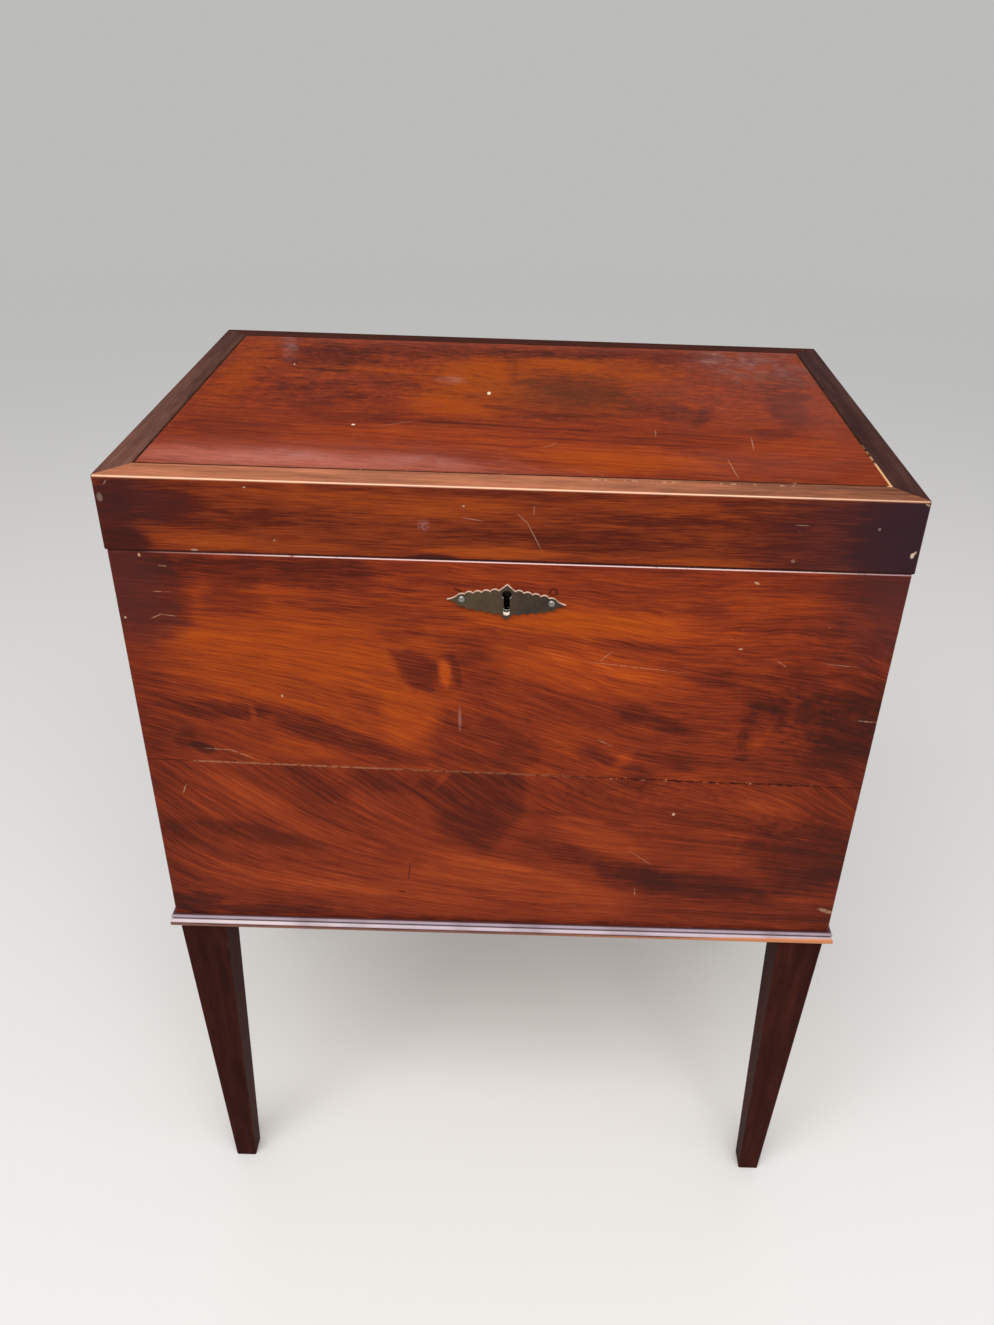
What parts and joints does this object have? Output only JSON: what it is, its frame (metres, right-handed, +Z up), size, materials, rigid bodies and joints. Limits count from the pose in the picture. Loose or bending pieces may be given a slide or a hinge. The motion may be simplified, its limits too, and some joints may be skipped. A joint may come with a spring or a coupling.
{
  "type": "cellarette",
  "caption": "Lift-lid wooden wine box with bottle divisions, a lock and a scalloped lozenge escutcheon, on a beaded base moulding and square tapered legs.",
  "frame": {"origin": "on the floor, under the middle of the whole object's bounding box", "axes": "+X to the right and +Y to the back as seen from the front, +Z up"},
  "size_m": [0.507, 0.3376, 0.6661],
  "materials": {
    "figured_front_veneer": "old french-polished flame mahogany veneer, satin gloss",
    "side_veneer": "old polished plain mahogany veneer, satin gloss",
    "figured_lid_veneer": "old polished figured mahogany veneer, worn gloss",
    "crossband_mahogany": "dark mahogany crossbanding, worn at the arris",
    "boxwood_stringing": "inlaid line, stained dark, bare boxwood where broken",
    "lid_rail_mahogany": "dark polished straight-grained mahogany",
    "leg_mahogany": "very dark polished mahogany",
    "moulding_mahogany": "dark polished mahogany moulding, worn at the edge",
    "back_mahogany": "plain mahogany board, thin dull polish",
    "division_mahogany": "thin unpolished mahogany boards",
    "carcase_pine": "unfinished old pine, darkened",
    "patinated_brass": "dark olive patina, pale at the worn edges",
    "pin_nickel": "dull grey metal pin heads",
    "bright_brass": "old lacquerless brass, rubbed bright",
    "screw_steel": "hand-made steel screws, dark in the slots",
    "nail_iron": "hand-forged iron, dark and lightly rusted",
    "lock_steel": "filed steel, lightly rusted"
  },
  "bodies": {
    "carcase": {"back_board": "back_mahogany", "back_left_leg": "leg_mahogany", "back_right_leg": "leg_mahogany", "base_moulding_front": "moulding_mahogany", "base_moulding_left": "moulding_mahogany", "base_moulding_right": "moulding_mahogany", "base_rail_back": "carcase_pine", "bottom_board": "carcase_pine", "cross_division_1": "division_mahogany", "cross_division_2": "division_mahogany", "cross_division_3": "division_mahogany", "drill_pin": "lock_steel", "escutcheon": "patinated_brass", "escutcheon_pins": "pin_nickel", "front_board_lower": "carcase_pine", "front_board_upper": "carcase_pine", "front_left_leg": "leg_mahogany", "front_right_leg": "leg_mahogany", "front_veneer_lower": "figured_front_veneer", "front_veneer_upper": "figured_front_veneer", "hinge_lower_screws": "screw_steel", "hinge_pins": "bright_brass", "keyhole_lining": "bright_brass", "left_hinge_lower_leaf": "bright_brass", "left_side_board": "carcase_pine", "left_side_veneer": "side_veneer", "lock_cap": "lock_steel", "lock_case": "lock_steel", "lock_screws": "screw_steel", "long_division_1": "division_mahogany", "long_division_2": "division_mahogany", "right_hinge_lower_leaf": "bright_brass", "right_side_board": "carcase_pine", "right_side_veneer": "side_veneer", "stand_nails": "nail_iron"},
    "lid": {"back_crossband": "crossband_mahogany", "front_crossband": "crossband_mahogany", "hinge_upper_screws": "screw_steel", "left_crossband": "crossband_mahogany", "left_hinge_upper_leaf": "bright_brass", "lid_back_rail": "lid_rail_mahogany", "lid_board": "carcase_pine", "lid_front_rail": "lid_rail_mahogany", "lid_left_rail": "lid_rail_mahogany", "lid_right_rail": "lid_rail_mahogany", "lid_veneer": "figured_lid_veneer", "link_plate": "bright_brass", "link_plate_screws": "screw_steel", "right_crossband": "crossband_mahogany", "right_hinge_upper_leaf": "bright_brass", "stringing": "boxwood_stringing"},
    "lock_bolt": {"lock_bolt": "lock_steel"}
  },
  "joints": [
    {"name": "lid_hinge", "type": "hinge", "parent": "carcase", "child": "lid", "pos_m": [0, 0.16525, 0.6169], "axis": [-1, 0, 0], "range_deg": [0, 95]},
    {"name": "lock_bolt_slide", "type": "slide", "parent": "carcase", "child": "lock_bolt", "axis": [1, 0, 0], "range_m": [0, 0.006]}
  ]
}
